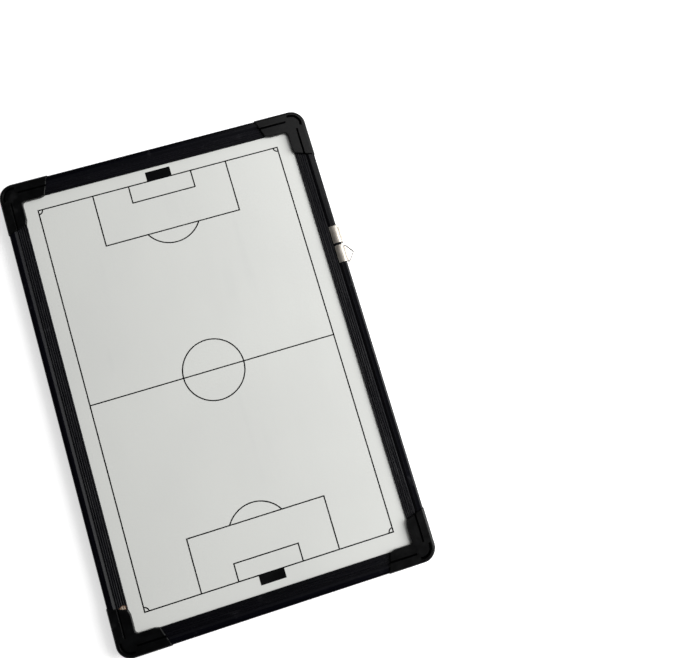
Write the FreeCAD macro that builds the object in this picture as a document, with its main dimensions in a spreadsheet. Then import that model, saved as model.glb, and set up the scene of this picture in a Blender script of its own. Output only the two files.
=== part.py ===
"""Tactics board: a printed white panel in a ribbed frame, with moulded corners and two hanger rings."""
import FreeCAD
import Part
import os
import Sketcher
from types import SimpleNamespace
from FreeCAD import Placement, Rotation, Vector

# Driving dimensions in millimetres, apart from counts and angles in degrees
SIZES = {
    # Frame, measured over the rails
    "frame_width": 299.2,
    "frame_length": 449.4,
    # Rail section, from the outer edge inwards
    "bead_width": 5.8,
    "bead_flat": 3.6,
    "slope_width": 2.4,
    "seam_width": 0.4,
    "slot_land": 0.6,
    "slot_depth": 8.8,
    # Rail section, across the thickness
    "flange_drop": 0.8,
    "lip_thick": 1.5,
    "seam_depth": 0.9,
    "seam_wall": 1.3,
    "chamber_wall": 2.0,
    "web_thick": 1.5,
    "rail_edge_round": 0.5,
    # Fine ribs along the rail faces
    "rib_count": 4,
    "rib_margin": 1.1,
    "rib_width": 1.2,
    "rib_floor": 0.3,
    "rib_depth": 0.45,
    # Panel
    "sheet_thick": 0.35,
    "core_thick": 9.3,
    "slot_gap": 0.1,
    "edge_gap": 0.8,
    # Corner mouldings
    "corner_arm": 48.5,
    "corner_slant": 6.5,
    "corner_proud": 0.5,
    "corner_skin": 1.2,
    "corner_overlap": 1.4,
    "corner_ramp": 5.0,
    "corner_round": 14.0,
    "corner_inner_round": 2.8,
    "corner_rim_round": 2.8,
    "corner_edge_round": 0.6,
    "corner_groove_width": 2.0,
    "corner_groove_depth": 1.1,
    "corner_groove_inset": 9.9,
    "corner_groove_stop": 18.6,
    "corner_arc_inset": 4.8,
    "corner_arc_width": 2.6,
    "corner_arc_depth": 1.6,
    "corner_arc_sweep": 119.0,
    "sleeve_gap": 0.12,
    "corner_web": 2.0,
    "rail_end_gap": 0.1,
    "tenon_length": 20.0,
    "tenon_gap": 0.08,
    # Corner screws
    "screw_head": 4.2,
    "screw_shank": 2.2,
    "screw_head_height": 1.0,
    "screw_cover": 1.92,
    "screw_tip": 1.6,
    "screw_gap": 0.05,
    "screw_rail_gap": 0.3,
    "screw_recess_width": 0.6,
    "screw_recess_length": 2.2,
    "screw_recess_depth": 0.7,
    # Hanger clips, each a strap with a rolled barrel
    "clip_length": 17.0,
    "clip_thick": 0.8,
    "clip_gap": 0.12,
    "clip_lip": 1.7,
    "barrel_setback": 1.5,
    "barrel_wall": 0.6,
    "barrel_weld": 0.38,
    "clip_upper_centre": 94.5,
    "hanger_spacing": 2.1,
    # Hanger rings
    "ring_wire": 1.3,
    "ring_play": 0.08,
    "ring_side_gap": 0.4,
    "ring_shoulder": 1.9,
    "ring_reach": 8.0,
    "ring_bend": 1.0,
    "ring_end_gap": 0.5,
    "ring_upper_droop": 90.0,
    "ring_lower_droop": 8.0,
    # Printed pitch
    "print_thick": 0.1,
    "line_width": 1.15,
    "pitch_side_margin": 14.1,
    "pitch_end_margin": 14.5,
    "pitch_shift_across": -0.9,
    "pitch_shift_along": 1.95,
    "circle_radius": 29.0,
    "area_width": 130.4,
    "area_depth": 50.5,
    "goal_area_width": 61.0,
    "goal_area_depth": 16.7,
    "goal_width": 24.0,
    "goal_depth": 9.3,
    "spot_distance": 35.5,
    "corner_arc_radius": 4.0,
    # Cuts run this far past the faces that they open
    "overrun": 2.0,
}

# Shapes closer than this count as touching when edges are picked
TOUCH = 1e-4

# Numbers by which a sketch knows the points of a line, its own origin and its two axes
START_INDEX = 1
END_INDEX = 2
CENTRE_INDEX = 3
ORIGIN_INDEX = -1
ACROSS_AXIS_INDEX = -1
UP_AXIS_INDEX = -2

# Directions and angles
UPWARD = Vector(0, 0, 1)
QUARTER_TURN = 90.0
FULL_TURN = 360.0

doc = FreeCAD.newDocument("tactics_board")
sheet = doc.addObject("Spreadsheet::Sheet", "Sizes")
for row, (alias, number) in enumerate(SIZES.items(), 1):
    sheet.set(f"A{row}", alias)
    sheet.set(f"B{row}", str(number))
    sheet.setAlias(f"B{row}", alias)
doc.recompute()


class Size:
    """A value together with the expression that ties it to the sheet."""

    def __init__(self, value, text):
        self.value = value
        self.text = text

    def __add__(self, other):
        other = as_size(other)
        return Size(self.value + other.value, f"({self.text} + {other.text})")

    def __sub__(self, other):
        other = as_size(other)
        return Size(self.value - other.value, f"({self.text} - {other.text})")

    def __mul__(self, other):
        other = as_size(other)
        return Size(self.value * other.value, f"({self.text} * {other.text})")

    def __truediv__(self, other):
        other = as_size(other)
        return Size(self.value / other.value, f"({self.text} / {other.text})")

    def __neg__(self):
        return Size(-self.value, f"(-{self.text})")


def as_size(number):
    return number if isinstance(number, Size) else Size(number, str(number))


def smaller(one, other):
    return Size(min(one.value, other.value), f"min({one.text}; {other.text})")


def bind(item, prop, size):
    item.setExpression(prop, size.text)


given = SimpleNamespace(**{name: Size(sheet.get(name), f"{sheet.Name}.{name}") for name in SIZES})
ZERO = as_size(0)

# Sizes that follow from the driving ones
panel_thick = given.core_thick + given.sheet_thick * 2
slot_height = panel_thick + given.slot_gap * 2
flange_thick = slot_height + given.lip_thick * 2
rail_thick = flange_thick + given.flange_drop * 2
seam_start = given.bead_width + given.slope_width
seam_end = seam_start + given.seam_width
slope_grade = (given.flange_drop + given.seam_depth) / given.slope_width
slot_floor = seam_end + given.slot_land
rail_face = slot_floor + given.slot_depth
bead_round = smaller(given.bead_width, rail_thick / 2) - given.bead_flat
chamber_end = slot_floor - given.web_thick
chamber_middle = (given.chamber_wall + chamber_end) / 2
chamber_height = flange_thick - (given.seam_depth + given.seam_wall) * 2
panel_inset = slot_floor + given.edge_gap
rail_inset = rail_face + given.corner_web
corner_thick = rail_thick + given.corner_skin * 2
middle_height = corner_thick / 2
screw_along = rail_inset + given.tenon_length / 2
screw_length = middle_height + chamber_height / 2 - given.tenon_gap - given.screw_cover
barrel_radius = given.ring_wire / 2 + given.ring_play + given.barrel_wall
barrel_length = given.clip_length - given.barrel_setback * 2
clip_height = rail_thick + (given.clip_gap + given.clip_thick) * 2
clip_reach = given.clip_gap + given.clip_thick - given.barrel_weld + barrel_radius * 2
ring_span = barrel_length + (given.ring_side_gap + given.ring_wire) * 2
clip_lower_centre = given.clip_upper_centre - ring_span - given.hanger_spacing
pitch_width = given.frame_width - (rail_face + given.pitch_side_margin) * 2
pitch_length = given.frame_length - (rail_face + given.pitch_end_margin) * 2


def new_body(label):
    body = doc.addObject("PartDesign::Body", label)
    body.Label = label
    return body


def plane_of(body, role):
    return next(plane for plane in body.Origin.OriginFeatures if plane.Role == role)


def new_sketch(body, name, role, offset=ZERO):
    """A sketch on one of the body's own planes, moved along that plane's normal."""
    sketch = body.newObject("Sketcher::SketchObject", name)
    sketch.AttachmentSupport = [(plane_of(body, role), "")]
    sketch.MapMode = "FlatFace"
    bind(sketch, "AttachmentOffset.Base.z", offset)
    return sketch


def pin(sketch, line, point, across, up):
    """Tie one point of a sketch to the sheet."""
    for kind, axis, size in (("DistanceX", UP_AXIS_INDEX, across), ("DistanceY", ACROSS_AXIS_INDEX, up)):
        if size.value == 0:
            sketch.addConstraint(Sketcher.Constraint("PointOnObject", line, point, axis))
        else:
            rule = Sketcher.Constraint(kind, ORIGIN_INDEX, START_INDEX, line, point, size.value)
            bind(sketch, f"Constraints[{sketch.addConstraint(rule)}]", size)


def join(sketch, line, following):
    """One line of a sketch starts where another ends."""
    sketch.addConstraint(Sketcher.Constraint("Coincident", line, END_INDEX, following, START_INDEX))


def outline(sketch, corners, rounded=(), radius=ZERO):
    """A closed outline of straight lines tied to the sheet, with arcs at the rounded corners."""
    first = sketch.GeometryCount
    points = [Vector(across.value, up.value, 0) for across, up in corners]
    following = points[1:] + points[:1]
    for start, end in zip(points, following):
        sketch.addGeometry(Part.LineSegment(start, end), False)
    for index in range(len(points)):
        after = first + (index + 1) % len(points)
        join(sketch, first + index, after)
    arcs = {}
    for index in rounded:
        before = first + (index - 1) % len(points)
        arcs[index] = sketch.GeometryCount
        sketch.fillet(before, END_INDEX, radius.value, True, True)
    for arc in arcs.values():
        fix_radius(sketch, arc, radius)
    for index, (across, up) in enumerate(corners):
        pinned = arcs[index] + 1 if index in arcs else first + index
        pin(sketch, pinned, START_INDEX, across, up)


def rectangle(sketch, left, low, right, high):
    outline(sketch, [(left, low), (right, low), (right, high), (left, high)])


def fix_radius(sketch, line, radius):
    rule = sketch.addConstraint(Sketcher.Constraint("Radius", line, radius.value))
    bind(sketch, f"Constraints[{rule}]", radius)


def circle(sketch, across, up, radius):
    """A full circle whose centre and radius are tied to the sheet."""
    centre = Vector(across.value, up.value, 0)
    line = sketch.addGeometry(Part.Circle(centre, UPWARD, radius.value), False)
    fix_radius(sketch, line, radius)
    pin(sketch, line, CENTRE_INDEX, across, up)


def pad(body, name, sketch, length, backwards=False):
    feature = body.newObject("PartDesign::Pad", name)
    feature.Profile = sketch
    feature.Reversed = backwards
    bind(feature, "Length", length)
    doc.recompute()
    return feature


def check_cut(body, feature, volume_before):
    """A cut that misses the solid is an error."""
    doc.recompute()
    if not feature.Shape.Volume < volume_before:
        raise RuntimeError(f"{body.Label}: {feature.Label} cuts nothing")
    return feature


def pocket(body, name, sketch, length, forwards=True):
    """A cut along the sketch's normal, or against it."""
    volume_before = body.Tip.Shape.Volume
    feature = body.newObject("PartDesign::Pocket", name)
    feature.Profile = sketch
    feature.Reversed = forwards
    bind(feature, "Length", length)
    return check_cut(body, feature, volume_before)


def turned_cut(body, name, sketch, angle):
    """A cut made by turning the sketch about its own upright axis."""
    volume_before = body.Tip.Shape.Volume
    feature = body.newObject("PartDesign::Groove", name)
    feature.Profile = sketch
    feature.ReferenceAxis = (sketch, ["V_Axis"])
    feature.Midplane = True
    bind(feature, "Angle", angle)
    return check_cut(body, feature, volume_before)


def round_edges(body, name, radius, wanted):
    """Round the edges of the body's last feature that the test picks."""
    base = body.Tip
    names = [f"Edge{number}" for number, edge in enumerate(base.Shape.Edges, 1) if wanted(edge)]
    feature = body.newObject("PartDesign::Fillet", name)
    feature.Base = (base, names)
    bind(feature, "Radius", radius)
    doc.recompute()
    return feature


def place(item, across, along, up, turn=0.0, about=UPWARD):
    """Turn an item about an axis, then move it to its place."""
    item.Placement = Placement(Vector(), Rotation(about, turn))
    for axis, size in zip("xyz", (across, along, up)):
        bind(item, f"Placement.Base.{axis}", size)


def near(one, other):
    return abs(one - other) < TOUCH


def runs_along(edge, across, up):
    """Does this edge run along the rail at this place of its section?"""
    box = edge.BoundBox
    level = near(box.YMin, across.value) and near(box.YMax, across.value)
    return level and near(box.ZMin, up.value) and near(box.ZMax, up.value)


def along_any(spots):
    """A test that picks the edges which run along the rail at any of these places."""
    return lambda edge: any(runs_along(edge, *spot) for spot in spots)


# Panel: two lacquered sheets on a light core, tucked into the rails' slots
def make_panel():
    layers = (
        ("back_sheet", given.sheet_thick, ZERO),
        ("core_board", given.core_thick, given.sheet_thick),
        ("front_sheet", given.sheet_thick, given.sheet_thick + given.core_thick),
    )
    width = given.frame_width - panel_inset * 2
    length = given.frame_length - panel_inset * 2
    for label, thickness, height in layers:
        layer = doc.addObject("Part::Box", label)
        layer.Label = label
        bind(layer, "Length", width)
        bind(layer, "Width", length)
        bind(layer, "Height", thickness)
        place(layer, -width / 2, -length / 2, middle_height - panel_thick / 2 + height)
        yield layer


# Printed pitch: an ink film on the front sheet, made of bars and rings
def print_bar(name, left, low, right, high):
    bar = doc.addObject("Part::Box", name)
    bind(bar, "Length", right - left)
    bind(bar, "Width", high - low)
    bind(bar, "Height", given.print_thick)
    place(bar, left, low, ZERO)
    return bar


def print_line(name, start, end):
    """A straight line of the pitch, along or across it, with square ends."""
    half = given.line_width / 2
    (left, low), (right, high) = start, end
    return print_bar(name, left - half, low - half, right + half, high + half)


def print_disc(name, across, along, radius):
    disc = doc.addObject("Part::Cylinder", name)
    bind(disc, "Radius", radius)
    bind(disc, "Height", given.print_thick)
    place(disc, across, along, ZERO)
    return disc


def print_ring(name, across, along, radius):
    half = given.line_width / 2
    ring = doc.addObject("Part::Cut", name)
    ring.Base = print_disc(f"{name}_outer", across, along, radius + half)
    ring.Tool = print_disc(f"{name}_inner", across, along, radius - half)
    return ring


def print_arc(name, across, along, radius, window):
    """The part of a ring that lies inside a rectangular window."""
    arc = doc.addObject("Part::Common", name)
    arc.Base = print_ring(f"{name}_ring", across, along, radius)
    arc.Tool = print_bar(f"{name}_window", *window)
    return arc


def print_area(name, width, depth, goal_line, inward):
    """The three lines of an area that stands on a goal line."""
    side = width / 2
    front = goal_line + depth * inward
    low, high = (goal_line, front) if inward > 0 else (front, goal_line)
    yield print_line(f"{name}_left", (-side, low), (-side, high))
    yield print_line(f"{name}_right", (side, low), (side, high))
    yield print_line(f"{name}_front", (-side, front), (side, front))


def print_corner(name, goal_line, inward, side):
    """The quarter arc at one corner of the pitch."""
    corner = pitch_width / 2 * side
    reach = given.corner_arc_radius + given.line_width / 2
    inner = corner - reach * side
    left, right = (inner, corner) if side > 0 else (corner, inner)
    far = goal_line + reach * inward
    low, high = (goal_line, far) if inward > 0 else (far, goal_line)
    return print_arc(name, corner, goal_line, given.corner_arc_radius, (left, low, right, high))


def print_end(name, goal_line, inward):
    """Everything at one end of the pitch."""
    for area, width, depth in (
        ("area", given.area_width, given.area_depth),
        ("goal_area", given.goal_area_width, given.goal_area_depth),
    ):
        yield from print_area(f"{name}_{area}", width, depth, goal_line, inward)
    back = goal_line - given.goal_depth * inward
    low, high = (back, goal_line) if inward > 0 else (goal_line, back)
    yield print_bar(f"{name}_goal", -given.goal_width / 2, low, given.goal_width / 2, high)
    front = goal_line + given.area_depth * inward
    spot = goal_line + given.spot_distance * inward
    tip = spot + (given.circle_radius + given.line_width) * inward
    low, high = (front, tip) if inward > 0 else (tip, front)
    window = (-given.circle_radius, low, given.circle_radius, high)
    yield print_arc(f"{name}_arc", ZERO, spot, given.circle_radius, window)
    yield print_corner(f"{name}_corner_left", goal_line, inward, -1)
    yield print_corner(f"{name}_corner_right", goal_line, inward, 1)


def make_print():
    side = pitch_width / 2
    end = pitch_length / 2
    lines = [
        print_line("touch_line_left", (-side, -end), (-side, end)),
        print_line("touch_line_right", (side, -end), (side, end)),
        print_line("goal_line_near", (-side, -end), (side, -end)),
        print_line("goal_line_far", (-side, end), (side, end)),
        print_line("halfway_line", (-side, ZERO), (side, ZERO)),
        print_ring("centre_circle", ZERO, ZERO, given.circle_radius),
    ]
    lines.extend(print_end("near", -end, 1))
    lines.extend(print_end("far", end, -1))
    film = doc.addObject("Part::MultiFuse", "pitch_print")
    film.Label = "pitch_print"
    film.Shapes = lines
    film.Refine = True
    place(film, given.pitch_shift_across, given.pitch_shift_along, middle_height + panel_thick / 2)
    return film


# Rails: a hollow flat-topped bead that slopes down to a seam, then two ribbed lips that hold the panel
def rail_section(body):
    flange_low = given.flange_drop
    flange_high = rail_thick - given.flange_drop
    seam_low = flange_low + given.seam_depth
    seam_high = flange_high - given.seam_depth
    slot_low = flange_low + given.lip_thick
    slot_high = flange_high - given.lip_thick
    section = new_sketch(body, "section", "YZ_Plane")
    outline(section, [
        (ZERO, ZERO),
        (given.bead_width, ZERO),
        (seam_start, seam_low),
        (seam_end, seam_low),
        (seam_end, flange_low),
        (rail_face, flange_low),
        (rail_face, slot_low),
        (slot_floor, slot_low),
        (slot_floor, slot_high),
        (rail_face, slot_high),
        (rail_face, flange_high),
        (seam_end, flange_high),
        (seam_end, seam_high),
        (seam_start, seam_high),
        (given.bead_width, rail_thick),
        (ZERO, rail_thick),
    ])
    chamber_low = (rail_thick - chamber_height) / 2
    rectangle(section, given.chamber_wall, chamber_low, chamber_end, chamber_low + chamber_height)
    return section


def round_rail(body):
    flange_high = rail_thick - given.flange_drop
    bead_edges = [(ZERO, ZERO), (ZERO, rail_thick)]
    small_edges = [
        (given.bead_width, ZERO),
        (given.bead_width, rail_thick),
        (seam_end, given.flange_drop),
        (seam_end, flange_high),
        (rail_face, given.flange_drop),
        (rail_face, flange_high),
    ]
    round_edges(body, "nose", bead_round, along_any(bead_edges))
    round_edges(body, "edges", smaller(given.rail_edge_round, given.bead_flat), along_any(small_edges))


def cut_ribs(body, length):
    """Parallel grooves with slanted sides along both faces of the lips."""
    first = seam_end + given.rib_margin
    last = first + given.rib_width
    slant = (given.rib_width - given.rib_floor) / 2
    low = given.flange_drop
    high = rail_thick - given.flange_drop
    sketch = new_sketch(body, "rib_section", "YZ_Plane")
    for face, floor in ((low, low + given.rib_depth), (high, high - given.rib_depth)):
        outline(sketch, [(first, face), (last, face), (last - slant, floor), (first + slant, floor)])
    groove = pocket(body, "rib_groove", sketch, length)
    ribs = body.newObject("PartDesign::LinearPattern", "ribs")
    ribs.Originals = [groove]
    ribs.Direction = (sketch, ["H_Axis"])
    bind(ribs, "Length", rail_face - seam_end - given.rib_margin * 2 - given.rib_width)
    bind(ribs, "Occurrences", given.rib_count)
    body.Tip = ribs
    return check_cut(body, ribs, groove.Shape.Volume)


def make_rail(label, side_length, across, along, turn):
    length = side_length - rail_inset * 2
    body = new_body(label)
    pad(body, "rail", rail_section(body), length)
    round_rail(body)
    cut_ribs(body, length)
    holes = new_sketch(body, "screw_hole_places", "XY_Plane")
    hole_radius = given.screw_shank / 2 + given.screw_rail_gap
    for place_along in (given.tenon_length / 2, length - given.tenon_length / 2):
        circle(holes, place_along, chamber_middle, hole_radius)
    pocket(body, "screw_holes", holes, rail_thick / 2)
    place(body, across, along, given.corner_skin, turn)
    return body


def make_rails():
    half_width = given.frame_width / 2
    half_length = given.frame_length / 2
    turn = QUARTER_TURN
    return [
        make_rail("rail_bottom", given.frame_width, rail_inset - half_width, -half_length, 0 * turn),
        make_rail("rail_right", given.frame_length, half_width, rail_inset - half_length, 1 * turn),
        make_rail("rail_top", given.frame_width, half_width - rail_inset, half_length, 2 * turn),
        make_rail("rail_left", given.frame_length, -half_width, half_length - rail_inset, 3 * turn),
    ]


# Corners: L-shaped sleeves over the rail ends, with a tenon in each rail's chamber
ARM_PLANES = (("along", "YZ_Plane", 1), ("across", "XZ_Plane", -1))


def corner_block(body):
    rail_line = given.corner_proud + rail_face
    inner_line = rail_line + given.corner_overlap
    arm_inner = given.corner_arm - given.corner_slant
    ramp_end = arm_inner - given.corner_ramp
    plan = new_sketch(body, "plan", "XY_Plane")
    outline(plan, [
        (ZERO, ZERO),
        (given.corner_arm, ZERO),
        (arm_inner, rail_line),
        (ramp_end, inner_line),
        (inner_line, inner_line),
        (inner_line, ramp_end),
        (rail_line, arm_inner),
        (ZERO, given.corner_arm),
    ])
    pad(body, "block", plan, corner_thick)

    def upright_at(edge, place_out):
        box = edge.BoundBox
        full_height = near(box.ZLength, corner_thick.value)
        return full_height and near(box.XMax, place_out.value) and near(box.YMax, place_out.value)

    def on_rim(edge):
        return near(edge.BoundBox.ZLength, 0)

    def on_flat_edge(edge):
        box = edge.BoundBox
        inset = given.corner_rim_round.value
        spans = ((box.XMin, box.XMax), (box.YMin, box.YMax))
        return any(near(low, inset) and near(high, inset) for low, high in spans)

    def on_outer_rim(edge):
        centre = edge.CenterOfMass
        bend = isinstance(edge.Curve, Part.Circle) and near(edge.Curve.Radius, given.corner_round.value)
        return on_rim(edge) and (near(centre.x, 0) or near(centre.y, 0) or bend)

    def on_inner_rim(edge):
        box = edge.BoundBox
        level = near(box.ZMin, 0) or near(box.ZMin, corner_thick.value)
        rim = given.corner_rim_round.value + TOUCH
        return on_rim(edge) and level and box.XMax > rim and box.YMax > rim and not on_flat_edge(edge)

    round_edges(body, "outer_bend", given.corner_round, lambda edge: upright_at(edge, ZERO))
    round_edges(body, "inner_bend", given.corner_inner_round, lambda edge: upright_at(edge, inner_line))
    round_edges(body, "outer_rim", given.corner_rim_round, on_outer_rim)
    round_edges(body, "inner_rim", given.corner_edge_round, on_inner_rim)


def sleeve_section(sketch):
    """The rail's outline with its clearance, rounded where the bead is round."""
    gap = given.sleeve_gap
    outer = given.corner_proud - gap
    crest = given.corner_proud + given.bead_width + gap
    slope_end = crest + given.flange_drop / slope_grade + gap
    inner = given.corner_proud + rail_face + gap
    bead_low = given.corner_skin - gap
    bead_high = corner_thick - bead_low
    flange_low = given.corner_skin + given.flange_drop - gap
    flange_high = corner_thick - flange_low
    corners = [
        (outer, bead_low),
        (crest, bead_low),
        (slope_end, flange_low),
        (inner, flange_low),
        (inner, flange_high),
        (slope_end, flange_high),
        (crest, bead_high),
        (outer, bead_high),
    ]
    ends = (0, len(corners) - 1)
    outline(sketch, corners, ends, bead_round + gap)


def cut_arm(body, name, plane, sign):
    """The sleeve, the tenon and the face grooves of one arm."""
    forwards = sign > 0
    rail_start = given.corner_proud + rail_inset - given.rail_end_gap
    sleeve = new_sketch(body, f"sleeve_{name}", plane, rail_start * sign)
    sleeve_section(sleeve)
    pocket(body, f"sleeve_cut_{name}", sleeve, given.corner_arm - rail_start + given.overrun, forwards)
    low = middle_height - chamber_height / 2 + given.tenon_gap
    high = middle_height + chamber_height / 2 - given.tenon_gap
    left = given.corner_proud + given.chamber_wall + given.tenon_gap
    right = given.corner_proud + chamber_end - given.tenon_gap
    tenon = new_sketch(body, f"tenon_{name}", plane, rail_start * sign)
    rectangle(tenon, left, low, right, high)
    pad(body, f"tenon_bar_{name}", tenon, given.tenon_length, not forwards)
    half = given.corner_groove_width / 2
    centre = given.corner_groove_inset
    groove = new_sketch(body, f"groove_{name}", plane, given.corner_groove_stop * sign)
    depth = given.corner_groove_depth
    for face, floor in ((ZERO, depth), (corner_thick, corner_thick - depth)):
        outline(groove, [(centre - half, face), (centre + half, face), (centre, floor)])
    pocket(body, f"groove_cut_{name}", groove, given.corner_arm - given.corner_groove_stop, forwards)


def cut_panel_slot(body):
    slot_start = given.corner_proud + slot_floor
    slot_end = given.corner_arm + given.overrun
    slot = new_sketch(body, "panel_slot", "XY_Plane", middle_height - slot_height / 2)
    rectangle(slot, slot_start, slot_start, slot_end, slot_end)
    pocket(body, "panel_slot_cut", slot, slot_height)


def cut_face_arc(body):
    """A curved groove on both faces that follows the outer bend."""
    centre = given.corner_round
    radius = given.corner_round - given.corner_arc_inset
    half = given.corner_arc_width / 2
    depth = given.corner_arc_depth
    to_the_bend = Rotation(Vector(0, 1, 0), -QUARTER_TURN - QUARTER_TURN / 2)
    arc = new_sketch(body, "face_arc", "XZ_Plane")
    arc.AttachmentOffset = Placement(Vector(), to_the_bend)
    bind(arc, "AttachmentOffset.Base.x", centre)
    bind(arc, "AttachmentOffset.Base.z", -centre)
    for face, floor in ((ZERO, depth), (corner_thick, corner_thick - depth)):
        outline(arc, [(radius - half, face), (radius + half, face), (radius, floor)])
    turned_cut(body, "face_arc_cut", arc, given.corner_arc_sweep)


def screw_outline(sketch, gap):
    """Half the outline of a countersunk screw, head down, with a gap all round."""
    head = given.screw_head / 2 + gap
    shank = given.screw_shank / 2 + gap
    outline(sketch, [
        (ZERO, ZERO),
        (head, ZERO),
        (shank, given.screw_head_height),
        (shank, screw_length - given.screw_tip),
        (ZERO, screw_length + gap),
    ])


def cut_screw_holes(body):
    far = given.corner_proud + screw_along
    near_edge = given.corner_proud + chamber_middle
    for name, across, along in (("along", far, near_edge), ("across", near_edge, far)):
        hole = new_sketch(body, f"screw_hole_{name}", "XZ_Plane", -along)
        bind(hole, "AttachmentOffset.Base.x", across)
        screw_outline(hole, given.screw_gap)
        turned_cut(body, f"screw_hole_cut_{name}", hole, as_size(FULL_TURN))


def make_corner(label, across, along, turn):
    body = new_body(label)
    corner_block(body)
    cut_panel_slot(body)
    for name, plane, sign in ARM_PLANES:
        cut_arm(body, name, plane, sign)
    cut_face_arc(body)
    cut_screw_holes(body)
    place(body, across, along, ZERO, turn)
    return body


def make_screw(label, across, along):
    """A countersunk screw with a cross recess, driven in from the back."""
    body = new_body(label)
    half_outline = new_sketch(body, "half_outline", "XZ_Plane")
    screw_outline(half_outline, ZERO)
    turned = body.newObject("PartDesign::Revolution", "screw")
    turned.Profile = half_outline
    turned.ReferenceAxis = (half_outline, ["V_Axis"])
    bind(turned, "Angle", as_size(FULL_TURN))
    doc.recompute()
    half_width = given.screw_recess_width / 2
    half_length = given.screw_recess_length / 2
    for name, wide, tall in (("slot", half_length, half_width), ("cross_slot", half_width, half_length)):
        recess = new_sketch(body, name, "XY_Plane")
        rectangle(recess, -wide, -tall, wide, tall)
        pocket(body, f"{name}_cut", recess, given.screw_recess_depth)
    place(body, across, along, ZERO)
    return body


def make_corners():
    """The four corners and their screws, in turn round the board."""
    out_across = given.frame_width / 2 + given.corner_proud
    out_along = given.frame_length / 2 + given.corner_proud
    corners = (
        ("bottom_left", -1, -1),
        ("bottom_right", 1, -1),
        ("top_right", 1, 1),
        ("top_left", -1, 1),
    )
    for quarters, (name, side, end) in enumerate(corners):
        yield make_corner(f"corner_{name}", out_across * side, out_along * end, quarters * QUARTER_TURN)
        far_across = (given.frame_width / 2 - screw_along) * side
        near_across = (given.frame_width / 2 - chamber_middle) * side
        far_along = (given.frame_length / 2 - screw_along) * end
        near_along = (given.frame_length / 2 - chamber_middle) * end
        yield make_screw(f"screw_{name}_end", far_across, near_along)
        yield make_screw(f"screw_{name}_side", near_across, far_along)


# Hanger clips: a strap sprung over the bead, with lips bent over its slopes and a barrel for the ring
def clip_section(sketch):
    strap_in = clip_reach - given.clip_gap
    strap_out = strap_in - given.clip_thick
    crest = clip_reach + given.bead_width + given.clip_gap
    lip_end = crest + given.clip_lip
    fall = given.clip_lip * slope_grade
    inner_height = clip_height - given.clip_thick
    upper = [
        (strap_out, clip_height),
        (crest, clip_height),
        (lip_end, clip_height - fall),
        (lip_end, inner_height - fall),
        (crest, inner_height),
        (strap_in, inner_height),
    ]
    lower = [(inward, clip_height - up) for inward, up in reversed(upper)]
    outline(sketch, upper + lower)
    inner_corners = [upper[-1], lower[0]]
    outer_corners = [upper[0], lower[-1]]
    return inner_corners, outer_corners


def make_clip(label, centre):
    body = new_body(label)
    strap = new_sketch(body, "strap_section", "YZ_Plane")
    inner_corners, outer_corners = clip_section(strap)
    pad(body, "strap", strap, given.clip_length)
    inner_round = bead_round + given.clip_gap
    round_edges(body, "inside_round", inner_round, along_any(inner_corners))
    round_edges(body, "outside_round", inner_round + given.clip_thick, along_any(outer_corners))
    barrel = new_sketch(body, "barrel_section", "YZ_Plane", given.barrel_setback)
    circle(barrel, barrel_radius, clip_height / 2, barrel_radius)
    pad(body, "barrel", barrel, barrel_length)
    bore = new_sketch(body, "bore_section", "YZ_Plane", given.barrel_setback)
    circle(bore, barrel_radius, clip_height / 2, given.ring_wire / 2 + given.ring_play)
    pocket(body, "bore", bore, barrel_length)
    start = centre - given.clip_length / 2
    low = middle_height - clip_height / 2
    place(body, given.frame_width / 2 + clip_reach, start, low, QUARTER_TURN)
    return body


# Hanger rings: one wire bent to a triangle, with its ends meeting inside the barrel
def bent_path(sketch, points, bend):
    """Straight runs through points tied to the sheet, with a tangent arc at each turn."""
    spots = [Vector(across.value, up.value, 0) for across, up in points]
    for start, end in zip(spots, spots[1:]):
        sketch.addGeometry(Part.LineSegment(start, end), False)
    turns = range(len(spots) - 2)
    for line in turns:
        join(sketch, line, line + 1)
    arcs = []
    for line in turns:
        arcs.append(sketch.GeometryCount)
        sketch.fillet(line, END_INDEX, bend.value, True, True)
    for arc, corner in zip(arcs, points[1:-1]):
        fix_radius(sketch, arc, bend)
        pin(sketch, arc + 1, START_INDEX, *corner)
    pin(sketch, turns[0], START_INDEX, *points[0])
    pin(sketch, turns[-1] + 1, END_INDEX, *points[-1])


def make_ring(label, centre, droop):
    gap = given.ring_end_gap / 2
    half = (ring_span - given.ring_wire) / 2
    one_side = [(ZERO, gap), (ZERO, half), (given.ring_shoulder, half)]
    other_side = [(out, -along) for out, along in reversed(one_side)]
    body = new_body(label)
    path = new_sketch(body, "path", "XY_Plane")
    bent_path(path, [*one_side, (given.ring_reach, ZERO), *other_side], given.ring_bend)
    section = new_sketch(body, "wire_section", "XZ_Plane", -gap)
    circle(section, ZERO, ZERO, given.ring_wire / 2)
    doc.recompute()
    wire = body.newObject("PartDesign::AdditivePipe", "wire")
    wire.Profile = section
    wire.Spine = (path, [])
    hinge = given.frame_width / 2 + clip_reach - barrel_radius
    place(body, hinge, centre, middle_height, droop.value, Vector(0, 1, 0))
    bind(body, "Placement.Rotation.Angle", droop)
    return body


def make_hangers():
    for name, centre, droop in (
        ("upper", given.clip_upper_centre, given.ring_upper_droop),
        ("lower", clip_lower_centre, given.ring_lower_droop),
    ):
        yield make_clip(f"hanger_clip_{name}", centre)
        yield make_ring(f"hanger_ring_{name}", centre, droop)


parts = [*make_panel(), make_print(), *make_rails(), *make_corners(), *make_hangers()]
doc.recompute()

for item in doc.Objects:
    if {"Invalid", "Error"} & set(item.State):
        raise RuntimeError(f"{item.Label} failed: {item.State}")
for part in parts:
    if part.Shape.isNull() or not part.Shape.isValid():
        raise RuntimeError(f"{part.Label} has no valid shape")
    if len(part.Shape.Solids) != 1:
        raise RuntimeError(f"{part.Label} has {len(part.Shape.Solids)} solids")

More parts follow.
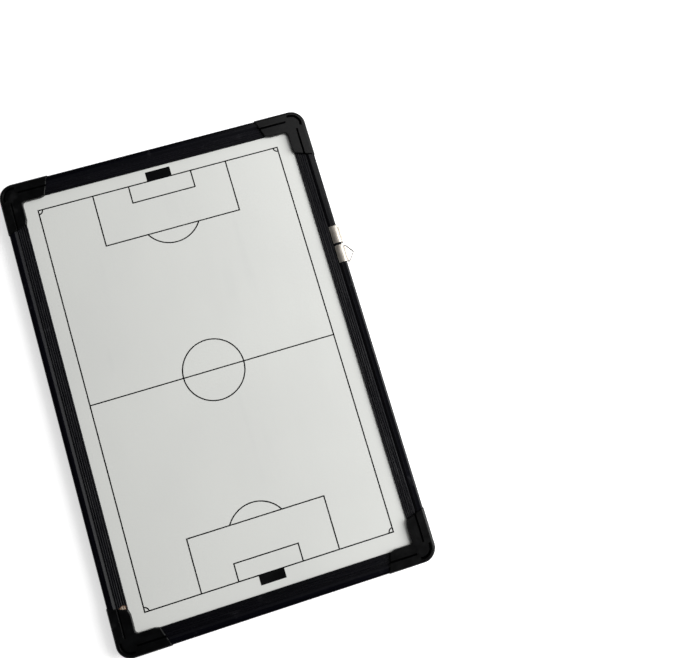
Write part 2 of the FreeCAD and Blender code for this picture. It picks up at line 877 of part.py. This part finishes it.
os.makedirs("parts", exist_ok=True)
for part in parts:
    part.Shape.exportStep(f"parts/{part.Label}.step")
print(f"{len(parts)} parts written")
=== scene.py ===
import bmesh
import bpy
import math
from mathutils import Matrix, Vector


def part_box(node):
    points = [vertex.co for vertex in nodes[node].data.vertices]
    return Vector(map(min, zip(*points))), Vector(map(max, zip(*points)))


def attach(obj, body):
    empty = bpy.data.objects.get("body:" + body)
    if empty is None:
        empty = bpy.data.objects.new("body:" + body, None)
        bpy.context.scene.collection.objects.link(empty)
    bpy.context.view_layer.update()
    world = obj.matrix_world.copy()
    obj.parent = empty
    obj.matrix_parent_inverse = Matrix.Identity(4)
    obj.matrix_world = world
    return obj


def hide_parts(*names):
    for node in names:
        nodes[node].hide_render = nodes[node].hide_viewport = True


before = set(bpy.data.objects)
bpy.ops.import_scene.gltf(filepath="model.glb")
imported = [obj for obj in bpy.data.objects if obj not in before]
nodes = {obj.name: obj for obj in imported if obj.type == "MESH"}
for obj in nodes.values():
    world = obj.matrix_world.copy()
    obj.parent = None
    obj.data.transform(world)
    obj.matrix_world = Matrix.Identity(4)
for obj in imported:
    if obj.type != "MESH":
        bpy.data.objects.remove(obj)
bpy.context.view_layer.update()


# Panel: two thin lacquered steel sheets glued to a light core board.
# The front is the writing face, wiped so often that faint grey smears stay in its satin lacquer.
# Its edges sit in the slots of the four rails, so only the faces are seen.
class Strand:
    """A socket in a node tree: sums on it add Math nodes, and add() makes any other node."""

    def __init__(self, socket):
        self.socket = socket

    def add(self, kind, settings, sockets, result):
        """The result of a new node with these settings, and with values or strands in its sockets."""
        tree = self.socket.id_data
        node = tree.nodes.new(kind)
        for name, value in settings.items():
            setattr(node, name, value)
        inputs = {socket.identifier: socket for socket in node.inputs}
        for name, value in sockets.items():
            if isinstance(value, Strand):
                tree.links.new(value.socket, inputs[name])
            else:
                inputs[name].default_value = value
        outputs = {socket.identifier: socket for socket in node.outputs}
        return Strand(outputs[result])

    def math(self, operation, one, other):
        sockets = {"Value": one, "Value_001": other}
        return self.add("ShaderNodeMath", {"operation": operation}, sockets, "Value")

    def __add__(self, other):
        return self.math("ADD", self, other)

    def __radd__(self, other):
        return self.math("ADD", other, self)

    def __sub__(self, other):
        return self.math("SUBTRACT", self, other)

    def __rsub__(self, other):
        return self.math("SUBTRACT", other, self)

    def __mul__(self, other):
        return self.math("MULTIPLY", self, other)

    def __rmul__(self, other):
        return self.math("MULTIPLY", other, self)

    def or_more(self, other):
        """The larger of this value and another."""
        return self.math("MAXIMUM", self, other)

    def noise(self, scale, detail, stretch=(1.0, 1.0, 1.0), shift=(0.0, 0.0, 0.0)):
        """Cloudy values about one half, with so many clouds to a metre before stretching."""
        sockets = {"Vector": self, "Location": shift, "Scale": stretch}
        spread = self.add("ShaderNodeMapping", {"vector_type": "POINT"}, sockets, "Vector")
        sockets = {"Vector": spread, "Scale": scale, "Detail": detail}
        return self.add("ShaderNodeTexNoise", {"noise_dimensions": "3D"}, sockets, "Fac")

    def between(self, span, result=(0.0, 1.0)):
        """This value's course from one end of the span to the other, carried over to the result."""
        sockets = {
            "Value": self,
            "From Min": span[0],
            "From Max": span[1],
            "To Min": result[0],
            "To Max": result[1],
        }
        settings = {"interpolation_type": "SMOOTHSTEP"}
        return self.add("ShaderNodeMapRange", settings, sockets, "Result")

    def within(self, rise, fall):
        """One from the end of the rise to the end of the fall, and zero outside them."""
        return self.between(rise) * self.between(fall)

    def tint(self, plain, other):
        """A colour that turns from plain to other with this value."""
        sockets = {"Factor_Float": self, "A_Color": plain, "B_Color": other}
        return self.add("ShaderNodeMix", {"data_type": "RGBA"}, sockets, "Result_Color")

    def part(self, axis):
        """One of the three coordinates of a place."""
        return self.add("ShaderNodeSeparateXYZ", {}, {"Vector": self}, axis)

    def vector(self, operation, other=(0.0, 0.0, 0.0)):
        """Another place, worked out from this one coordinate by coordinate."""
        sockets = {"Vector": self, "Vector_001": other}
        return self.add("ShaderNodeVectorMath", {"operation": operation}, sockets, "Vector")

    def length(self):
        """How far a place is from the origin."""
        return self.add("ShaderNodeVectorMath", {"operation": "LENGTH"}, {"Vector": self}, "Value")

    def relief(self, depth=1.0):
        """Bumps as high as this value times the depth, in metres."""
        sockets = {"Height": self, "Distance": depth, "Strength": 1.0}
        return self.add("ShaderNodeBump", {}, sockets, "Normal")


class Finish:
    """A material and its shader, whose fixed values are set on the shader's own sockets."""

    def __init__(self, name, **fixed):
        self.material = bpy.data.materials.new(name)
        self.material.use_nodes = True
        self.tree = self.material.node_tree
        self.shader = self.tree.nodes["Principled BSDF"]
        self.settle(self.shader, fixed)
        self.place = Strand(self.tree.nodes.new("ShaderNodeTexCoord").outputs["Object"])

    def settle(self, shader, fixed):
        for socket, value in fixed.items():
            shader.inputs[socket.replace("_", " ")].default_value = value

    def feed(self, **varying):
        for socket, strand in varying.items():
            self.tree.links.new(strand.socket, self.shader.inputs[socket.replace("_", " ")])

    def overlay(self, share, **fixed):
        """Puts a second, plain shader in place of the first where the share is one."""
        second = self.tree.nodes.new("ShaderNodeBsdfPrincipled")
        self.settle(second, fixed)
        sockets = {
            "Fac": share,
            "Shader": Strand(self.shader.outputs["BSDF"]),
            "Shader_001": Strand(second.outputs["BSDF"]),
        }
        both = share.add("ShaderNodeMixShader", {}, sockets, "Shader")
        self.tree.links.new(both.socket, self.tree.nodes["Material Output"].inputs["Surface"])


def dress(finish, *names):
    for name in names:
        nodes[name].data.materials.clear()
        nodes[name].data.materials.append(finish.material)


NOISE_INNER = (0.3, 0.7)
NOISE_MIDDLE = (0.25, 0.75)
NOISE_WIDE = (0.2, 0.8)

SHEET_WHITE = (0.705, 0.714, 0.686, 1.0)
SHEET_SHADE = (0.684, 0.692, 0.667, 1.0)
SHEET_SMEAR = (0.590, 0.600, 0.584, 1.0)
SHEET_SPECULAR = 0.4
SHEET_ROUGHNESS = (0.30, 0.42)
CLOUDS = {"scale": 9.0, "detail": 3.0}
WIPES = {"scale": 60.0, "detail": 4.0, "stretch": (1.0, 0.12, 1.0)}
SMEAR_SPAN = (0.30, 0.46)
SMEAR_TINT = 0.22
SMEAR_ROUGHNESS = 0.08
SPECKS = {"scale": 2600.0, "detail": 0.0}
SPECK_SPAN = (0.74, 0.80)
SPECK_TINT = 0.25
ORANGE_PEEL = {"scale": 420.0, "detail": 1.0}
ORANGE_PEEL_DEPTH = 0.000012

lacquer = Finish("satin_lacquer", Specular_IOR_Level=SHEET_SPECULAR)
clouds = lacquer.place.noise(**CLOUDS)
wipes = lacquer.place.noise(**WIPES)
smears = (clouds * wipes).between(SMEAR_SPAN)
specks = lacquer.place.noise(**SPECKS).between(SPECK_SPAN)
white = clouds.between(NOISE_INNER).tint(SHEET_WHITE, SHEET_SHADE)
white = (smears * SMEAR_TINT).tint(white, SHEET_SMEAR)
white = (specks * SPECK_TINT).tint(white, SHEET_SMEAR)
lacquer.feed(
    Base_Color=white,
    Roughness=wipes.between(NOISE_MIDDLE, SHEET_ROUGHNESS) + smears * SMEAR_ROUGHNESS,
    Normal=lacquer.place.noise(**ORANGE_PEEL).relief(ORANGE_PEEL_DEPTH),
)
dress(lacquer, "front_sheet", "back_sheet")

CORE_TAN = (0.46, 0.37, 0.26, 1.0)
CORE_DARK = (0.30, 0.23, 0.15, 1.0)
CORE_SPECULAR = 0.25
CORE_ROUGHNESS = (0.75, 0.95)
FIBRES = {"scale": 900.0, "detail": 4.0, "stretch": (1.0, 1.0, 4.0)}
FIBRE_DEPTH = 0.00015

core = Finish("pressed_fibre", Specular_IOR_Level=CORE_SPECULAR)
fibres = core.place.noise(**FIBRES)
core.feed(
    Base_Color=fibres.between(NOISE_INNER).tint(CORE_TAN, CORE_DARK),
    Roughness=fibres.between(NOISE_WIDE, CORE_ROUGHNESS),
    Normal=fibres.relief(FIBRE_DEPTH),
)
dress(core, "core_board")


# Printed pitch: a thin film of dark screen ink laid on the lacquer.
# The ink is a little uneven, with patches where wiping has thinned it.
INK_DARK = (0.0006, 0.0006, 0.0008, 1.0)
INK_THIN = (0.0060, 0.0063, 0.0066, 1.0)
INK_SPECULAR = 0.10
INK_ROUGHNESS = (0.36, 0.48)
PATCHES = {"scale": 35.0, "detail": 3.0}
PINHOLES = {"scale": 3000.0, "detail": 1.0}
PINHOLE_DEPTH = 0.00001
THIN_SPAN = (0.22, 0.42)

ink = Finish("screen_ink", Specular_IOR_Level=INK_SPECULAR)
patches = ink.place.noise(**PATCHES)
pinholes = ink.place.noise(**PINHOLES)
ink.feed(
    Base_Color=(patches * pinholes).between(THIN_SPAN).tint(INK_DARK, INK_THIN),
    Roughness=pinholes.between(NOISE_WIDE, INK_ROUGHNESS),
    Normal=pinholes.relief(PINHOLE_DEPTH),
)
dress(ink, "pitch_print")


# Rails: black anodised aluminium, drawn through a die, so fine lines run along each length.
# The bead along the outside is smoother than the ribbed lips, and all have a few pale rubs and nicks.
# The left rail has one chip by the lower corner where bare metal shows.
RAIL_BLACK = (0.0006, 0.0006, 0.0016, 1.0)
RAIL_GREY = (0.0019, 0.0019, 0.0038, 1.0)
RAIL_RUB = (0.026, 0.026, 0.030, 1.0)
RAIL_SPECULAR = 0.14
BEAD_END = (0.0048, 0.0060)
BEAD_ROUGHNESS = (0.22, 0.32)
BEAD_LINES = 0.000005
LIP_START = (0.0078, 0.0088)
LIP_ROUGHNESS = 0.20
LIP_LINES = 0.000280
DIE_LINES = {"scale": 2400.0, "detail": 2.0}
DIE_BANDS = {"scale": 240.0, "detail": 2.0, "shift": (3.1, 1.7, 0.4)}
DIE_LINE_SPAN = (0.16, 0.40)
RUBS = {"scale": 90.0, "detail": 5.0}
RUB_SPAN = (0.64, 0.74)
RUB_TINT = 0.5
RUB_ROUGHNESS = 0.12
NICKS = {"scale": 1500.0, "detail": 0.0}
NICK_SPAN = (0.785, 0.81)
NICK_TINT = 0.7


def rail_finish(name, stretch, across, outer_edge):
    """Anodised metal with die lines along the way that is stretched, and the colour to feed to it."""
    finish = Finish(name, Specular_IOR_Level=RAIL_SPECULAR)
    inset = outer_edge - finish.place.vector("ABSOLUTE").part(across)
    off_bead = inset.between(BEAD_END)
    on_lips = inset.between(LIP_START)
    die_lines = finish.place.noise(stretch=stretch, **DIE_LINES)
    bands = finish.place.noise(stretch=stretch, **DIE_BANDS)
    rubs = finish.place.noise(**RUBS).between(RUB_SPAN)
    nicks = finish.place.noise(**NICKS).between(NICK_SPAN)
    colour = (die_lines * bands).between(DIE_LINE_SPAN).tint(RAIL_BLACK, RAIL_GREY)
    colour = (rubs * die_lines * RUB_TINT).tint(colour, RAIL_RUB)
    colour = (nicks * NICK_TINT).tint(colour, RAIL_RUB)
    roughness = bands.between(NOISE_MIDDLE, BEAD_ROUGHNESS) + rubs * RUB_ROUGHNESS
    finish.feed(
        Roughness=roughness + off_bead * LIP_ROUGHNESS,
        Normal=(die_lines * (BEAD_LINES + on_lips * LIP_LINES)).relief(),
    )
    return finish, colour


ALONG_X = (0.012, 1.0, 1.0)
ALONG_Y = (1.0, 0.012, 1.0)
HALF_LENGTH = 0.2247
HALF_WIDTH = 0.1496
cross_rail, cross_colour = rail_finish("anodised_cross_rail", ALONG_X, "Y", HALF_LENGTH)
cross_rail.feed(Base_Color=cross_colour)
dress(cross_rail, "rail_bottom", "rail_top")
side_rail, side_colour = rail_finish("anodised_side_rail", ALONG_Y, "X", HALF_WIDTH)
side_rail.feed(Base_Color=side_colour)
dress(side_rail, "rail_right")

CHIP_RIM = (0.15, 0.080, 0.046, 1.0)
CHIP_BARE = (0.36, 0.295, 0.24, 1.0)
CHIP_PLACE = (-0.1356, -0.1815, 0.0150)
CHIP_STRETCH = (260.0, 330.0, 150.0)
CHIP_EDGE = {"scale": 700.0, "detail": 3.0}
CHIP_RAGGED = 1.6
CHIP_SPAN = (1.80, 1.55)
BARE_SPAN = (1.45, 1.20)
chipped_rail, chipped_colour = rail_finish("anodised_side_rail_chipped", ALONG_Y, "X", HALF_WIDTH)
from_chip = chipped_rail.place.vector("SUBTRACT", CHIP_PLACE).vector("MULTIPLY", CHIP_STRETCH)
broken = from_chip.length() + chipped_rail.place.noise(**CHIP_EDGE) * CHIP_RAGGED
bare = broken.between(BARE_SPAN).tint(CHIP_RIM, CHIP_BARE)
chipped_rail.feed(Base_Color=broken.between(CHIP_SPAN).tint(chipped_colour, bare))
dress(chipped_rail, "rail_left")


# Corners: one-piece caps moulded in black plastic, pushed over the rail ends.
# The mould was spark-eroded, so the faces have a fine matt grain.
# Handling has scuffed them a little greyer in places. The grooves get painted shade: a dull near-black
# shader is laid over their walls and floors, where the shade of the recess falls.
CORNERS = ("bottom_left", "bottom_right", "top_right", "top_left")
CORNER_BLACK = (0.0007, 0.0007, 0.0008, 1.0)
CORNER_GREY = (0.0020, 0.0021, 0.0023, 1.0)
CORNER_SCUFF = (0.030, 0.030, 0.031, 1.0)
CORNER_SPECULAR = 0.19
CORNER_ROUGHNESS = (0.28, 0.36)
GRAIN = {"scale": 2200.0, "detail": 2.0}
GRAIN_DEPTH = 0.00003
MOTTLE = {"scale": 140.0, "detail": 4.0}
MOTTLE_ROUGHNESS = (0.0, 0.05)
SCRATCHES = {"scale": 420.0, "detail": 3.0, "stretch": (1.0, 0.06, 1.0)}
SCRATCH_SPAN = (0.66, 0.74)
SCRATCH_TINT = 0.5
SCUFFS = {"scale": 75.0, "detail": 5.0}
SCUFF_SPAN = (0.60, 0.72)
SCUFF_TINT = 0.12
SCUFF_ROUGHNESS = 0.08

moulded = Finish("moulded_plastic", Specular_IOR_Level=CORNER_SPECULAR)
grain = moulded.place.noise(**GRAIN)
mottle = moulded.place.noise(**MOTTLE)
scratches = moulded.place.noise(**SCRATCHES).between(SCRATCH_SPAN)
scuffs = moulded.place.noise(**SCUFFS).between(SCUFF_SPAN)
plastic = mottle.between(NOISE_INNER).tint(CORNER_BLACK, CORNER_GREY)
plastic = (scuffs * (SCUFF_TINT + scratches * SCRATCH_TINT)).tint(plastic, CORNER_SCUFF)
satin = grain.between(NOISE_MIDDLE, CORNER_ROUGHNESS) + mottle.between(NOISE_INNER, MOTTLE_ROUGHNESS)
moulded.feed(
    Base_Color=plastic,
    Roughness=satin + scuffs * SCUFF_ROUGHNESS,
    Normal=grain.relief(GRAIN_DEPTH),
)

# Painted shade in the cap grooves: a near-black, dull shader with no specular is mixed over the groove
# walls and floors to darken them like shadowed recesses.
GROOVE_PAINTED_SHADE = (0.0004, 0.0004, 0.0005, 1.0)
GROOVE_ROUGHNESS = 0.8
GROOVE_SHADE_SHARE = 0.8
GROOVE_RIM = 0.00001
GROOVE_WALL = 0.00008
GROOVE_FLOOR = (0.0146, 0.0150)
STRAIGHT_GROOVE = ((0.0083, 0.0088), (0.0115, 0.0110))
BEND_GROOVE = ((0.0030, 0.0034), (0.0066, 0.0062))
CAP_HALF_WIDTH = 0.1501
CAP_HALF_LENGTH = 0.2252
CAP_FACE = 0.0172
CAP_BEND = 0.0140
BEND_MIDDLE = (CAP_HALF_WIDTH - CAP_BEND, CAP_HALF_LENGTH - CAP_BEND, CAP_FACE)
GROOVE_TOP = (CAP_FACE - GROOVE_RIM, CAP_FACE - GROOVE_WALL)
past_middle = moulded.place.vector("ABSOLUTE").vector("SUBTRACT", BEND_MIDDLE).vector("MAXIMUM")
inset = CAP_BEND - past_middle.length()
below_face = moulded.place.part("Z").within(GROOVE_TOP, GROOVE_FLOOR)
painted_groove_shade = (inset.within(*STRAIGHT_GROOVE) + inset.within(*BEND_GROOVE)) * below_face * GROOVE_SHADE_SHARE
moulded.overlay(
    painted_groove_shade, Base_Color=GROOVE_PAINTED_SHADE, Roughness=GROOVE_ROUGHNESS, Specular_IOR_Level=0.0
)
dress(moulded, *(f"corner_{corner}" for corner in CORNERS))


# Corner screws: small blackened steel screws, countersunk into the back of each cap.
# Two hold every cap to its two rails, and the black has worn bright in patches.
SCREW_BLACK = (0.035, 0.035, 0.038, 1.0)
SCREW_BRIGHT = (0.36, 0.35, 0.34, 1.0)
SCREW_ROUGHNESS = (0.30, 0.48)
TURNED_MARKS = {"scale": 3200.0, "detail": 2.0}
TURNED_DEPTH = 0.00001
WEAR = {"scale": 900.0, "detail": 4.0}
WEAR_SPAN = (0.58, 0.68)
WEAR_TINT = 0.7

blackened = Finish("blackened_steel", Metallic=1.0)
turned_marks = blackened.place.noise(**TURNED_MARKS)
worn = blackened.place.noise(**WEAR).between(WEAR_SPAN)
blackened.feed(
    Base_Color=(worn * WEAR_TINT).tint(SCREW_BLACK, SCREW_BRIGHT),
    Roughness=turned_marks.between(NOISE_WIDE, SCREW_ROUGHNESS),
    Normal=turned_marks.relief(TURNED_DEPTH),
)
dress(blackened, *(f"screw_{corner}_{side}" for corner in CORNERS for side in ("end", "side")))


# Hanger clips: straps of nickel-plated spring steel bent round the bead of the right rail.
# Their lips are bent over the slopes of the bead, and a rolled barrel outside carries the ring.
HANGERS = ("upper", "lower")
NICKEL_WARM = (0.54, 0.505, 0.455, 1.0)
NICKEL_DULL = (0.36, 0.325, 0.280, 1.0)
NICKEL_ROUGHNESS = (0.40, 0.52)
BRUSHING = {"scale": 2600.0, "detail": 3.0, "stretch": (1.0, 0.035, 1.0)}
BRUSHING_DEPTH = 0.000012
TARNISH = {"scale": 160.0, "detail": 4.0}
TARNISH_SPAN = (0.18, 0.40)
TARNISH_ROUGHNESS = 0.06
CLIP_EDGE = 0.00016
CLIP_EDGE_STEPS = 3
ROUND_PROFILE = 0.5
MERGE_REACH = 1e-7
FLAT_BEND = math.radians(0.5)
SHARP_BEND = math.radians(38.0)

nickel = Finish("nickel_plate", Metallic=1.0)
brushing = nickel.place.noise(**BRUSHING)
tarnish = nickel.place.noise(**TARNISH)
nickel.feed(
    Base_Color=(tarnish * brushing).between(TARNISH_SPAN).tint(NICKEL_WARM, NICKEL_DULL),
    Roughness=brushing.between(NOISE_WIDE, NICKEL_ROUGHNESS) + tarnish * TARNISH_ROUGHNESS,
    Normal=brushing.relief(BRUSHING_DEPTH),
)


def shaded_piece(name, mesh):
    """An object for a finished mesh, smooth but for its sharp bends."""
    mesh.shade_smooth()
    mesh.set_sharp_from_angle(angle=SHARP_BEND)
    piece = bpy.data.objects.new(name, mesh)
    bpy.context.scene.collection.objects.link(piece)
    return piece


def eased_copy(node, name):
    """A copy of a CAD node's shape with its sharp edges rounded."""
    shape = bmesh.new()
    shape.from_mesh(nodes[node].data)
    bmesh.ops.remove_doubles(shape, verts=shape.verts, dist=MERGE_REACH)
    bmesh.ops.dissolve_limit(shape, angle_limit=FLAT_BEND, verts=shape.verts, edges=shape.edges)
    bmesh.ops.bevel(
        shape,
        geom=[edge for edge in shape.edges if edge.is_manifold and edge.calc_face_angle() > SHARP_BEND],
        offset=CLIP_EDGE,
        segments=CLIP_EDGE_STEPS,
        profile=ROUND_PROFILE,
        affect="EDGES",
        clamp_overlap=True,
    )
    bmesh.ops.triangulate(shape, faces=shape.faces)
    mesh = bpy.data.meshes.new(name)
    shape.to_mesh(mesh)
    shape.free()
    return shaded_piece(name, mesh)


for hanger in HANGERS:
    strap = eased_copy(f"hanger_clip_{hanger}", f"clip_strap_{hanger}")
    strap.data.materials.append(nickel.material)
    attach(strap, f"clip_{hanger}")
    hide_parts(f"hanger_clip_{hanger}")


# Hanger rings: one bright steel wire each, bent to a flat triangle.
# The two ends meet inside the clip's barrel, where the ring swings.
# The upper ring hangs straight down, and the lower one is held out.
STEEL_BRIGHT = (0.33, 0.32, 0.305, 1.0)
STEEL_DULL = (0.21, 0.20, 0.19, 1.0)
STEEL_ROUGHNESS = (0.16, 0.30)
DRAWING_LINES = {"scale": 3000.0, "detail": 3.0}
DRAWING_DEPTH = 0.000008
DULL_SPAN = (0.3, 0.75)
WIRE_RADIUS = 0.00065
WIRE_BEND = 0.0010
WIRE_SIDES = 20
BEND_STEPS = 10
RING_HALF_SPAN = 0.00805
RING_END_GAP = 0.00025
RING_SHOULDER = 0.0019
RING_REACH = 0.0080
HINGE_ACROSS = 0.15147
HINGE_UP = 0.0086
RING_DROOP = {"upper": math.radians(90.0), "lower": math.radians(8.0)}

bright = Finish("bright_wire", Metallic=1.0)
drawing_lines = bright.place.noise(**DRAWING_LINES)
bright.feed(
    Base_Color=drawing_lines.between(DULL_SPAN).tint(STEEL_BRIGHT, STEEL_DULL),
    Roughness=drawing_lines.between(NOISE_WIDE, STEEL_ROUGHNESS),
    Normal=drawing_lines.relief(DRAWING_DEPTH),
)


def bent_wire_tree():
    """Sweeps a round wire along a run of straight edges, with a bend at each corner."""
    tree = bpy.data.node_groups.new("bent_wire", "GeometryNodeTree")
    kinds = {"Run": "Geometry", "Wire radius": "Float", "Bend radius": "Float", "Finish": "Material"}
    for name, kind in kinds.items():
        tree.interface.new_socket(name, in_out="INPUT", socket_type=f"NodeSocket{kind}")
    tree.interface.new_socket("Wire", in_out="OUTPUT", socket_type="NodeSocketGeometry")
    given = {socket.name: Strand(socket) for socket in tree.nodes.new("NodeGroupInput").outputs}
    run = given["Run"]
    line = run.add("GeometryNodeMeshToCurve", {}, {"Mesh": run}, "Curve")
    sockets = {"Curve": line, "Count": BEND_STEPS, "Radius": given["Bend radius"], "Limit Radius": True}
    line = line.add("GeometryNodeFilletCurve", {"mode": "POLY"}, sockets, "Curve")
    sockets = {"Resolution": WIRE_SIDES, "Radius": given["Wire radius"]}
    section = line.add("GeometryNodeCurvePrimitiveCircle", {"mode": "RADIUS"}, sockets, "Curve")
    sockets = {"Curve": line, "Profile Curve": section, "Fill Caps": True}
    swept = line.add("GeometryNodeCurveToMesh", {}, sockets, "Mesh")
    swept = swept.add("GeometryNodeRealizeInstances", {}, {"Geometry": swept}, "Geometry")
    sockets = {"Geometry": swept, "Material": given["Finish"]}
    swept = swept.add("GeometryNodeSetMaterial", {}, sockets, "Geometry")
    tree.links.new(swept.socket, tree.nodes.new("NodeGroupOutput").inputs["Wire"])
    return tree


def bent_ring(name, along, droop):
    """The wire of one ring, as a plain mesh at its own place."""
    half_run = [(0.0, RING_END_GAP), (0.0, RING_HALF_SPAN), (RING_SHOULDER, RING_HALF_SPAN)]
    run = [*half_run, (RING_REACH, 0.0), *((out, -side) for out, side in reversed(half_run))]
    places = [
        (HINGE_ACROSS + out * math.cos(droop), along + side, HINGE_UP - out * math.sin(droop))
        for out, side in run
    ]
    path = bpy.data.meshes.new(f"{name}_run")
    path.from_pydata(places, [(index, index + 1) for index in range(len(places) - 1)], [])
    maker = bpy.data.objects.new(f"{name}_maker", path)
    bpy.context.scene.collection.objects.link(maker)
    sweep = maker.modifiers.new("sweep", "NODES")
    sweep.node_group = wire_tree
    values = {"Wire radius": WIRE_RADIUS, "Bend radius": WIRE_BEND, "Finish": bright.material}
    for item in wire_tree.interface.items_tree:
        if item.in_out == "INPUT" and item.name in values:
            sweep[item.identifier] = values[item.name]
    evaluated = maker.evaluated_get(bpy.context.evaluated_depsgraph_get())
    mesh = bpy.data.meshes.new_from_object(evaluated)
    bpy.data.objects.remove(maker)
    mesh.name = name
    return shaded_piece(name, mesh)


wire_tree = bent_wire_tree()
for hanger in HANGERS:
    low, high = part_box(f"hanger_ring_{hanger}")
    ring = bent_ring(f"ring_wire_{hanger}", (low.y + high.y) / 2, RING_DROOP[hanger])
    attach(ring, f"ring_{hanger}")
    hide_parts(f"hanger_ring_{hanger}")


# Floor: a wide white sheet under the board, which keeps the board's soft shadow.
# To the camera and in reflections it is lifted near the board, and to white far from it.
FLOOR_REACH = 6.0
FLOOR_DROP = 0.0002
FLOOR_WHITE = (0.86, 0.86, 0.86, 1.0)
FLOOR_ROUGHNESS = 0.9
FLOOR_NO_LIFT = (0.0, 0.0, 0.0, 1.0)
FLOOR_LIFT = (0.62, 0.62, 0.62, 1.0)
FLOOR_FAR = (1.0, 1.0, 1.0, 1.0)
FLOOR_FADE = (0.32, 0.95)


def lifted(tree, share):
    """One for a ray from the camera, this share for one from a reflection or clear stuff, else zero."""
    rays = tree.nodes.new("ShaderNodeLightPath").outputs
    mirrored = Strand(rays["Is Glossy Ray"]).or_more(Strand(rays["Is Transmission Ray"])) * share
    return mirrored.or_more(Strand(rays["Is Camera Ray"]))


floor_mesh = bpy.data.meshes.new("floor")
corners = [(-FLOOR_REACH, -FLOOR_REACH), (FLOOR_REACH, -FLOOR_REACH)]
corners += [(FLOOR_REACH, FLOOR_REACH), (-FLOOR_REACH, FLOOR_REACH)]
floor_mesh.from_pydata([(across, along, -FLOOR_DROP) for across, along in corners], [], [(0, 1, 2, 3)])
floor = bpy.data.objects.new("floor", floor_mesh)
bpy.context.scene.collection.objects.link(floor)
paper = Finish(
    "white_paper",
    Base_Color=FLOOR_WHITE,
    Roughness=FLOOR_ROUGHNESS,
    Specular_IOR_Level=0.0,
    Emission_Strength=1.0,
)
lift = paper.place.length().between(FLOOR_FADE).tint(FLOOR_LIFT, FLOOR_FAR)
paper.feed(Emission_Color=lifted(paper.tree, share=1.0).tint(FLOOR_NO_LIFT, lift))
floor_mesh.materials.append(paper.material)


# Studio light: a large soft lamp at the right, a smaller one high at the upper right, and a pale wall.
# The white background stands round the floor, and overhead the room is dim.
# So the metal mirrors white at its sides, and the flat black faces stay dark.
ROOM_WHITE = (1.0, 1.0, 1.0, 1.0)
ROOM_DIM = 0.035
ROOM_LOW = 0.24
ROOM_LOW_UP = (0.55, 0.15)
ROOM_WALL = 0.75
WALL_ACROSS = (0.30, 0.90)
WALL_UP = (0.80, 0.45)
HORIZON_UP = (0.25, 0.10)
LAMPS = {
    "key": {"place": (1.45, -0.12, 1.05), "size": (1.21, 1.45), "power": 45.0},
    "window": {"place": (0.58, 0.66, 1.30), "size": (0.6, 0.6), "power": 4.2},
}

world = bpy.data.worlds.new("studio")
bpy.context.scene.world = world
world.use_nodes = True
background = world.node_tree.nodes["Background"]
background.inputs["Color"].default_value = ROOM_WHITE
toward = Strand(world.node_tree.nodes.new("ShaderNodeTexCoord").outputs["Generated"])
height = toward.part("Z")
wall = toward.part("X").between(WALL_ACROSS) * height.between(WALL_UP)
room = ROOM_DIM + height.between(ROOM_LOW_UP) * ROOM_LOW + wall * ROOM_WALL
room = room.or_more(lifted(world.node_tree, height.between(HORIZON_UP)))
world.node_tree.links.new(room.socket, background.inputs["Strength"])

for name, plan in LAMPS.items():
    lamp = bpy.data.lights.new(name, "AREA")
    lamp.shape = "RECTANGLE"
    lamp.size, lamp.size_y = plan["size"]
    lamp.energy = plan["power"]
    holder = bpy.data.objects.new(name, lamp)
    holder.location = plan["place"]
    holder.rotation_euler = (-holder.location).to_track_quat("-Z", "Y").to_euler()
    bpy.context.scene.collection.objects.link(holder)


# Camera: held over the board and turned a little, as the photograph was taken.
# The lens and the place were fitted to the printed lines and the rails.
LENS_LENGTH = 39.19
SENSOR_WIDTH = 36.0
NEAREST_SEEN = 0.01
CAMERA_PLACE = (0.05462, -0.06526, 0.71333)
CAMERA_TURN = (7.1132, -3.7524, -16.8503)

camera_data = bpy.data.cameras.new("camera")
camera_data.lens = LENS_LENGTH
camera_data.sensor_width = SENSOR_WIDTH
camera_data.clip_start = NEAREST_SEEN
camera = bpy.data.objects.new("camera", camera_data)
camera.location = CAMERA_PLACE
camera.rotation_euler = tuple(math.radians(angle) for angle in CAMERA_TURN)
bpy.context.scene.collection.objects.link(camera)
bpy.context.scene.camera = camera
bpy.context.scene.view_settings.view_transform = "Standard"
